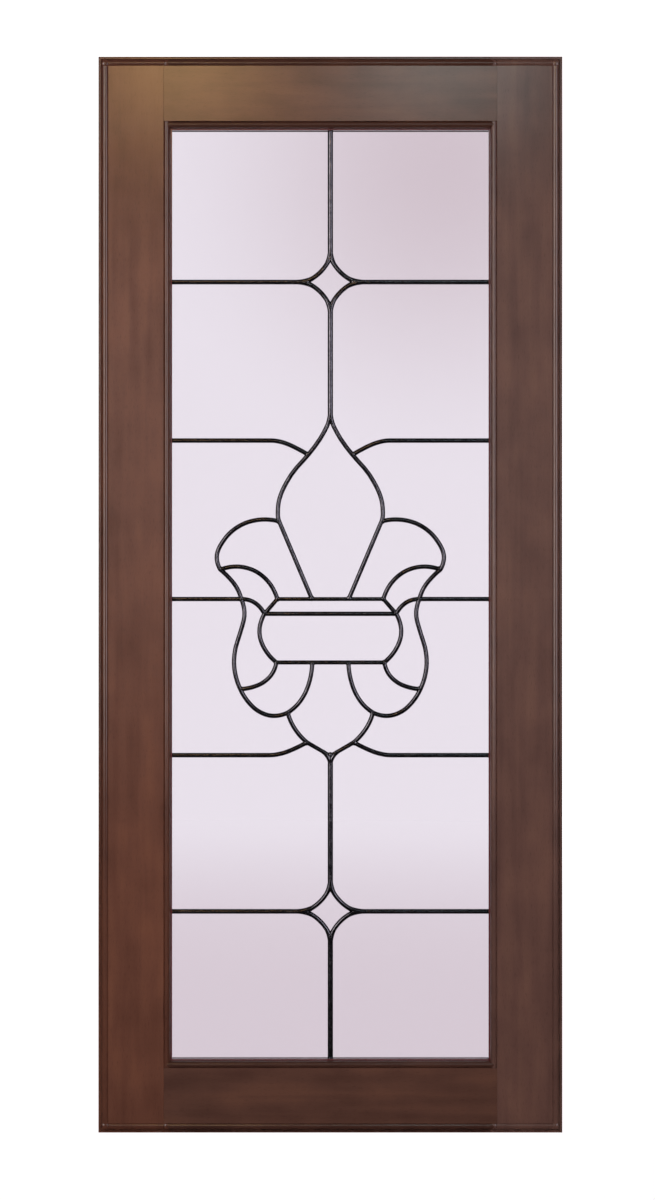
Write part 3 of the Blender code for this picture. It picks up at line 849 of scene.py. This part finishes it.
def flares(reach):
    """The solder that runs out along the stems at every pointed tip."""
    found = []
    for row in (1, 5):
        level = row_levels()[row]
        for across in (-1, 1):
            for up in (-1, 1):
                side = [(across * u, level + up * (v - level)) for u, v in diamond_side(level)]
                found.append(flare(side, (0.0, up), reach))
                found.append(flare(side[::-1], (across, 0.0), reach))
    for line, up in (
        (fleur_curve(FINIAL_TIP, FINIAL_SHOULDER, FINIAL_JOINT), 1),
        ([fleur(SHIELD_TIP), fleur(SHIELD_JOINT)], -1),
    ):
        for side in (line, [(-u, v) for u, v in line]):
            found.append(flare(side, (0.0, up), reach))
    return found


def flat_curve(name, lines, loops):
    """Straight-segment curves in the panel's own plane."""
    curve = bpy.data.curves.new(name, "CURVE")
    curve.dimensions = "3D"
    for line, cyclic in [(line, False) for line in lines] + [(loop, True) for loop in loops]:
        spline = curve.splines.new("POLY")
        spline.points.add(len(line) - 1)
        for point, (u, v) in zip(spline.points, line):
            point.co = (u, v, 0.0, 1.0)
        spline.use_cyclic_u = cyclic
    return placed(name, curve)


def new_tree(name, *sizes, **others):
    """An empty Geometry Nodes tree; its inputs are a geometry, sizes, others and a material."""
    tree = bpy.data.node_groups.new(name, "GeometryNodeTree")
    tree.interface.new_socket("Geometry", in_out="OUTPUT", socket_type="NodeSocketGeometry")
    inputs = {"Geometry": "Geometry"} | dict.fromkeys(sizes, "Float") | others
    for label, kind in (inputs | {"Material": "Material"}).items():
        tree.interface.new_socket(label, in_out="INPUT", socket_type="NodeSocket" + kind)
    return tree, add(tree, "NodeGroupInput").outputs


def finish_tree(tree, geometry, material):
    """Every tree's end: stood up in the door, real geometry, one material."""
    stand = {"Translation": (CENTRE_X, PANEL_MIDDLE, 0.0), "Rotation": (pi / 2, 0.0, 0.0)}
    steps = (
        ("GeometryNodeTransform", stand),
        ("GeometryNodeRealizeInstances", {}),
        ("GeometryNodeSetMaterial", {"Material": material}),
    )
    for kind, inputs in steps:
        geometry = add(tree, kind, {"Geometry": geometry} | inputs).outputs["Geometry"]
    add(tree, "NodeGroupOutput", {"Geometry": geometry})


def grown(drawn, tree, values):
    """The mesh that a Geometry Nodes tree makes from an object with these input values."""
    modifier = drawn.modifiers.new(tree.name, "NODES")
    modifier.node_group = tree
    for item in tree.interface.items_tree:
        if item.in_out == "INPUT" and item.name in values:
            modifier[item.identifier] = values[item.name]
    mesh = evaluated(drawn)
    tidied = bmesh.new()
    tidied.from_mesh(mesh)
    bmesh.ops.recalc_face_normals(tidied, faces=tidied.faces)
    tidied.to_mesh(mesh)
    tidied.free()
    return mesh


def came_tree():
    """Sweeps an H-shaped came along its centre lines: two round leaves joined by a heart."""
    tree, given = new_tree("round_came", "Face Width", "Crown", "Heart Width", "Channel")
    half = maths(tree, "MULTIPLY", given["Face Width"], 0.5)
    squares = maths(tree, "MULTIPLY_ADD", half, half, maths(tree, "POWER", given["Crown"], 2.0))
    radius = maths(tree, "DIVIDE", squares, maths(tree, "MULTIPLY", given["Crown"], 2.0))
    spread = maths(tree, "ARCSINE", maths(tree, "DIVIDE", half, radius))
    arc = {
        "Resolution": LEAF_POINTS,
        "Radius": radius,
        "Start Angle": maths(tree, "SUBTRACT", pi / 2, spread),
        "Sweep Angle": maths(tree, "MULTIPLY", spread, 2.0),
    }
    leaf = add(tree, "GeometryNodeCurveArc", arc, mode="RADIUS").outputs["Curve"]
    shut = add(tree, "GeometryNodeSetSplineCyclic", {"Geometry": leaf, "Cyclic": True})
    rise = maths(tree, "MULTIPLY", given["Channel"], 0.5)
    rise = maths(tree, "SUBTRACT", maths(tree, "ADD", rise, given["Crown"]), radius)
    lift = add(tree, "ShaderNodeCombineXYZ", {"Y": rise}).outputs["Vector"]
    raised = {"Geometry": shut.outputs["Geometry"], "Translation": lift}
    front = add(tree, "GeometryNodeTransform", raised).outputs["Geometry"]
    turned = {"Geometry": front, "Rotation": (0.0, 0.0, pi)}
    back = add(tree, "GeometryNodeTransform", turned).outputs["Geometry"]
    wall = {"Width": given["Heart Width"], "Height": given["Channel"]}
    heart = add(tree, "GeometryNodeCurvePrimitiveQuadrilateral", wall).outputs["Curve"]
    section = add(tree, "GeometryNodeJoinGeometry")
    for part in (front, back, heart):
        tree.links.new(part, section.inputs["Geometry"])
    upright = add(tree, "GeometryNodeSetCurveNormal", {"Curve": given["Geometry"]}, mode="Z_UP")
    sweep = {
        "Curve": upright.outputs["Curve"],
        "Profile Curve": section.outputs["Geometry"],
        "Fill Caps": True,
    }
    swept = add(tree, "GeometryNodeCurveToMesh", sweep)
    finish_tree(tree, swept.outputs["Mesh"], given["Material"])
    return tree


def solder_tree():
    """Puts a flattened bead of solder on every joint, each a little different."""
    tree, given = new_tree("solder", "Radius", "Height", Seed="Int")
    ball = {"Segments": 20, "Rings": 10, "Radius": 1.0}
    bead = add(tree, "GeometryNodeMeshUVSphere", ball).outputs["Mesh"]
    turn, stretch = (
        add(tree, "GeometryNodeInputNamedAttribute", {"Name": name}, data_type="FLOAT").outputs[0]
        for name in ("turn", "stretch")
    )
    shares = {2: SOLDER_SPREAD[0], 3: SOLDER_SPREAD[1], "Seed": given["Seed"]}
    vary = add(tree, "FunctionNodeRandomValue", shares, data_type="FLOAT")
    across = maths(tree, "MULTIPLY", given["Radius"], vary.outputs[1])
    long = maths(tree, "MULTIPLY", given["Radius"], stretch)
    size = add(tree, "ShaderNodeCombineXYZ", {"X": long, "Y": across, "Z": given["Height"]})
    facing = add(tree, "ShaderNodeCombineXYZ", {"Z": turn})
    setting = {
        "Points": given["Geometry"],
        "Instance": bead,
        "Rotation": facing.outputs["Vector"],
        "Scale": size.outputs["Vector"],
    }
    set_down = add(tree, "GeometryNodeInstanceOnPoints", setting)
    finish_tree(tree, set_down.outputs["Instances"], given["Material"])
    return tree


def pin_tree():
    """Sets a small round head at equal steps along each stop."""
    tree, given = new_tree("pins", "Spacing", "Radius")
    spaced = {"Curve": given["Geometry"], "Length": given["Spacing"]}
    steps = add(tree, "GeometryNodeResampleCurve", spaced, mode="LENGTH").outputs["Curve"]
    depth = maths(tree, "MULTIPLY", given["Radius"], 0.5)
    disc = {"Vertices": 16, "Radius": given["Radius"], "Depth": depth}
    head = add(tree, "GeometryNodeMeshCylinder", disc).outputs["Mesh"]
    driven = add(tree, "GeometryNodeInstanceOnPoints", {"Points": steps, "Instance": head})
    finish_tree(tree, driven.outputs["Instances"], given["Material"])
    return tree


def patinated(name, finishes, rubbed):
    """Lead alloy under a chemical black patina, brushed and waxed.

    Almost black, with a dull metal gleam, rubbed greyer in places and faintly uneven to touch.
    """
    material, tree, shader = new_material(name)
    place = object_place(tree)
    # Wax and rubbing vary over about 4 mm, dents over 2 mm
    wax = noise(tree, place, 0.004, 3.0)
    dents = noise(tree, place, 0.002, 2.0)
    rub = remap(tree, wax, (0.45, 0.75), (0.0, rubbed))
    tone = blend(tree, rub, finishes.patina, finishes.patina_worn)
    dull = remap(tree, wax, (0.0, 1.0), (0.12, 0.26))
    tree.links.new(tone, shader.inputs["Base Color"])
    tree.links.new(dull, shader.inputs["Roughness"])
    relief(tree, shader, dents, 0.4, 0.00008)
    shader.inputs["Metallic"].default_value = 1.0
    return material


def steel_brads():
    """Drawn steel wire, cut and headed: plain grey metal with a soft shine."""
    material, tree, shader = new_material("steel_brads")
    wear = noise(tree, object_place(tree), 0.0008, 2.0)
    tone = blend(tree, wear, linear("6E6C69"), linear("A9A6A1"))
    tree.links.new(tone, shader.inputs["Base Color"])
    shader.inputs["Metallic"].default_value = 1.0
    shader.inputs["Roughness"].default_value = 0.35
    return material


class DOOR_OT_cames(bpy.types.Operator):
    """Sweep the round cames and the border along their centre lines"""

    bl_idname = "door.cames"
    bl_label = "Cames"

    def execute(self, context):
        lead, finishes = context.scene.door_leadwork, context.scene.door_finishes
        patina = patinated("black_patina_on_lead", finishes, 0.5)
        tree = came_tree()
        sizes = {
            "Face Width": lead.face_width,
            "Crown": lead.crown,
            "Heart Width": lead.heart_width,
            "Channel": GLASS_THICKNESS + CLEARANCE,
            "Material": patina,
        }
        edge_u = PANEL_HALF_WIDTH - lead.border_width / 2
        edge_v = PANEL_HALF_HEIGHT - lead.border_width / 2
        border = [(-edge_u, -edge_v), (edge_u, -edge_v), (edge_u, edge_v), (-edge_u, edge_v)]
        sweeps = (
            (open_cames() + flares(lead.flare_reach), closed_cames(), {}),
            (stems(), [], {"Face Width": lead.stem_width}),
            ([], [border], {"Face Width": lead.border_width, "Crown": lead.border_crown}),
        )
        lattice = bmesh.new()
        for lines, loops, own_sizes in sweeps:
            lattice.from_mesh(grown(flat_curve("cames", lines, loops), tree, sizes | own_sizes))
        cames = bpy.data.meshes.new("round_cames")
        lattice.to_mesh(cames)
        lattice.free()
        cames.materials.append(patina)
        show("round_cames", softened(cames, SOFT_EDGE), ("came_lattice",))
        return {"FINISHED"}


class DOOR_OT_solder(bpy.types.Operator):
    """Set solder on the joints of the cames, front and back"""

    bl_idname = "door.solder"
    bl_label = "Solder"

    def execute(self, context):
        lead, finishes = context.scene.door_leadwork, context.scene.door_finishes
        spots = [(*joint, side) for side in (-1, 1) for joint in joints(lead)]
        face = GLASS_THICKNESS / 2
        points = bpy.data.meshes.new("solder_points")
        points.from_pydata([(u, v, side * face) for u, v, _, _, side in spots], [], [])
        for name, column in (("turn", 2), ("stretch", 3)):
            values = points.attributes.new(name, "FLOAT", "POINT")
            values.data.foreach_set("value", [spot[column] for spot in spots])
        drawn = placed("solder_points", points)
        values = {
            "Radius": lead.solder_radius,
            "Height": lead.crown + lead.solder_proud,
            "Seed": lead.solder_seed,
            "Material": patinated("black_patina_on_solder", finishes, 0.9),
        }
        mesh = grown(drawn, solder_tree(), values)
        show("solder_joints", softened(mesh, pi))
        return {"FINISHED"}


class DOOR_OT_pins(bpy.types.Operator):
    """Drive the brads that hold the stops"""

    bl_idname = "door.pins"
    bl_label = "Brads"

    def execute(self, context):
        wood = context.scene.door_woodwork
        lines = []
        for name in STOPS:
            low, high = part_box(name)
            middle = (low + high) / 2
            u, v = middle.x - CENTRE_X, middle.z
            reach_u, reach_v = (high.x - low.x) / 2, (high.z - low.z) / 2
            if reach_v > reach_u:
                lines.append([(u, PIN_INSET - reach_v), (u, reach_v - PIN_INSET)])
            else:
                lines.append([(PIN_INSET - reach_u, v), (reach_u - PIN_INSET, v)])
        drawn = flat_curve("pins", lines, [])
        values = {
            "Spacing": wood.pin_spacing,
            "Radius": wood.pin_radius,
            "Material": steel_brads(),
        }
        mesh = grown(drawn, pin_tree(), values)
        back = max(vertex.co.y for vertex in mesh.vertices)
        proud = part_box("left_stop")[1].y + CLEARANCE
        mesh.transform(Matrix.Translation((0.0, proud - back, 0.0)))
        show("stop_brads", softened(mesh, SOFT_EDGE))
        return {"FINISHED"}


# Glass


def clear_glass(finishes):
    """Clear float glass, polished: see-through, with sharp reflections that bend a little."""
    material, tree, shader = new_material("clear_float_glass")
    # The tint is partly painted shade, for the dimmer backdrop seen through the glass
    shader.inputs["Base Color"].default_value = (*finishes.glass_tint_and_shade, 1.0)
    shader.inputs["Transmission Weight"].default_value = 1.0
    shader.inputs["Roughness"].default_value = 0.0
    shader.inputs["IOR"].default_value = 1.52
    # The making leaves a wave of about 60 mm that only a reflection shows
    wave = noise(tree, object_place(tree), 0.06, 1.0)
    relief(tree, shader, wave, 0.1, 0.0005)
    return material


class DOOR_OT_glaze(bpy.types.Operator):
    """Give every pane its clear glass"""

    bl_idname = "door.glaze"
    bl_label = "Glass"

    def execute(self, context):
        glass = clear_glass(context.scene.door_finishes)
        for name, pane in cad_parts.items():
            if name.endswith("_pane"):
                pane.material_slots[0].material = glass
        return {"FINISHED"}


# Stage


def seen(tree):
    """1 where the camera looks straight or through glass, else 0."""
    path = add(tree, "ShaderNodeLightPath").outputs
    return maths(tree, "MAXIMUM", path["Is Camera Ray"], path["Is Transmission Ray"])


def pale_floor(stage):
    """Matt white studio floor, which runs without an edge into the backdrop further out."""
    material, tree, shader = new_material("pale_floor")
    shader.inputs["Roughness"].default_value = 0.8
    shader.inputs["Specular IOR Level"].default_value = 0.0
    looked_at = seen(tree)
    # Dark to a bounce, as with black flags in front of the door, so that its foot stays deep
    tone = blend(tree, looked_at, linear("4A4A4A"), linear("E4E2E1"))
    tree.links.new(tone, shader.inputs["Base Color"])
    place = object_place(tree)
    distance = add(tree, "ShaderNodeVectorMath", {0: place}, operation="LENGTH").outputs["Value"]

    def by_distance(near, far):
        return remap(tree, distance, GLOW_RANGE, (near, far), "SMOOTHSTEP")

    white = blend(tree, by_distance(0.0, 1.0), linear("FFF8FA"), WHITE)
    strength = by_distance(stage.near_floor, stage.backdrop)
    glow = add(tree, "ShaderNodeEmission", {"Color": white, "Strength": strength})
    share = maths(tree, "MULTIPLY", by_distance(GLOW_BY_DOOR, 1.0), looked_at)
    both = {"Fac": share, 1: shader.outputs["BSDF"], 2: glow.outputs["Emission"]}
    mixed = add(tree, "ShaderNodeMixShader", both)
    output = tree.nodes["Material Output"]
    tree.links.new(mixed.outputs["Shader"], output.inputs["Surface"])
    return material


def light_world(scene, stage):
    """A white studio, a little dimmer to the upper right, and dim to all but a direct look."""
    world = bpy.data.worlds.new("studio")
    world.use_nodes = True
    scene.world = world
    tree = world.node_tree
    background = tree.nodes["Background"]
    path = add(tree, "ShaderNodeLightPath").outputs
    share = maths(tree, "MULTIPLY_ADD", path["Is Glossy Ray"], stage.gloss - 1.0, 1.0)
    room = maths(tree, "MULTIPLY", share, stage.room)
    levels = {"Factor": seen(tree), 2: room, 3: stage.backdrop}
    level = add(tree, "ShaderNodeMix", levels, data_type="FLOAT")
    tree.links.new(level.outputs[0], background.inputs["Strength"])
    way = add(tree, "ShaderNodeTexCoord").outputs["Generated"]
    ways = {0: way, 1: Vector(DIM_WAY).normalized()}
    apart = add(tree, "ShaderNodeVectorMath", ways, operation="DISTANCE").outputs["Value"]
    shade = remap(tree, apart, (0.0, DIM_REACH), (0.0, 1.0), "SMOOTHSTEP")
    white = blend(tree, shade, linear("E4DBDC"), WHITE)
    tree.links.new(white, background.inputs["Color"])


def softbox(name, place, size, power, hex_colour):
    """A light aimed at the door's middle, seen neither straight nor through the glass."""
    light = bpy.data.lights.new(name, "AREA")
    light.shape = "RECTANGLE"
    light.size, light.size_y = size
    light.energy = power
    light.color = linear(hex_colour)
    lamp = placed(name, light)
    middle = Vector((CENTRE_X, 0.0, 0.0))
    lamp.location = middle + Vector(place)
    toward = middle - lamp.location
    lamp.rotation_euler = toward.to_track_quat("-Z", "Y").to_euler()
    lamp.visible_camera = False
    lamp.visible_transmission = False
    return lamp


class DOOR_OT_stage(bpy.types.Operator):
    """Set up the floor, the lights and the camera"""

    bl_idname = "door.stage"
    bl_label = "Studio Stage"

    def execute(self, context):
        stage = context.scene.door_stage
        half = stage.floor_size / 2
        mesh = bpy.data.meshes.new("floor")
        ends = ((-half, -half), (half, -half), (half, half), (-half, half))
        corners = [(CENTRE_X + x, y, DOOR_LOW.z - FLOOR_GAP) for x, y in ends]
        mesh.from_pydata(corners, [], [(0, 1, 2, 3)])
        mesh.materials.append(pale_floor(stage))
        floor = placed("floor", mesh)
        light_world(context.scene, stage)
        for light in FILL_LIGHTS:
            lamp = softbox(*light)
            lamp.visible_glossy = False
            lamp.data.spread = FILL_SPREAD
        for light in SHEEN_LIGHTS:
            softbox(*light).visible_diffuse = False
        camera = bpy.data.cameras.new("camera")
        camera.sensor_width = SENSOR_WIDTH
        camera.lens = camera.sensor_width * stage.camera_distance / stage.picture_height
        seat = placed("camera", camera)
        away = DOOR_LOW.y + RIM_DEPTH - stage.camera_distance
        seat.location = (CENTRE_X - stage.camera_left, away, -stage.camera_low)
        seat.rotation_euler = (pi / 2, 0.0, 0.0)
        context.scene.camera = seat
        context.scene.view_settings.view_transform = "Standard"
        return {"FINISHED"}


class DOOR_PT_build(bpy.types.Panel):
    """The door's pieces, in the order in which they are built"""

    bl_label = "Glass Door"
    bl_idname = "DOOR_PT_build"
    bl_space_type = "VIEW_3D"
    bl_region_type = "UI"
    bl_category = "Glass Door"

    def draw(self, context):
        for operator in OPERATORS:
            self.layout.operator(operator.bl_idname)


GROUPS = {
    "door_woodwork": DoorWoodwork,
    "door_leadwork": DoorLeadwork,
    "door_finishes": DoorFinishes,
    "door_stage": DoorStage,
}
OPERATORS = (
    DOOR_OT_frame,
    DOOR_OT_stops,
    DOOR_OT_pins,
    DOOR_OT_cames,
    DOOR_OT_solder,
    DOOR_OT_glaze,
    DOOR_OT_stage,
)


def register():
    for name, group in GROUPS.items():
        bpy.utils.register_class(group)
        setattr(bpy.types.Scene, name, PointerProperty(type=group))
    for operator in OPERATORS:
        bpy.utils.register_class(operator)
    bpy.utils.register_class(DOOR_PT_build)


def unregister():
    bpy.utils.unregister_class(DOOR_PT_build)
    for operator in reversed(OPERATORS):
        bpy.utils.unregister_class(operator)
    for name, group in reversed(GROUPS.items()):
        delattr(bpy.types.Scene, name)
        bpy.utils.unregister_class(group)


def main():
    register()
    for operator in OPERATORS:
        family, name = operator.bl_idname.split(".")
        getattr(getattr(bpy.ops, family), name)()


if __name__ == "__main__":
    main()
